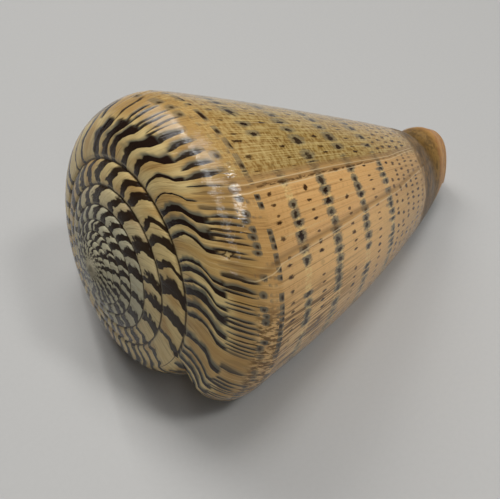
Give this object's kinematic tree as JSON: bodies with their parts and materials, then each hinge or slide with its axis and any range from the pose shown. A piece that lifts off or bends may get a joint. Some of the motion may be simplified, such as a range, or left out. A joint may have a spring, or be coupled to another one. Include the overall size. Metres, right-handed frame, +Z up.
{
  "type": "cone shell",
  "caption": "Large cone-shaped seashell lying on its aperture side, with a low flamed spire, rounded shoulder, dotted tan body and a collared anterior tip.",
  "frame": {"origin": "centre of the footprint's bounding box, on the surface that the shell rests on", "axes": "+Z up; +X along the shell's long axis, from the spire to the anterior tip; the aperture faces down and towards +Y"},
  "size_m": [0.1102, 0.0676, 0.0609],
  "materials": {
    "shell": "gloss"
  },
  "bodies": {
    "root": {"shell": "shell"}
  },
  "joints": []
}
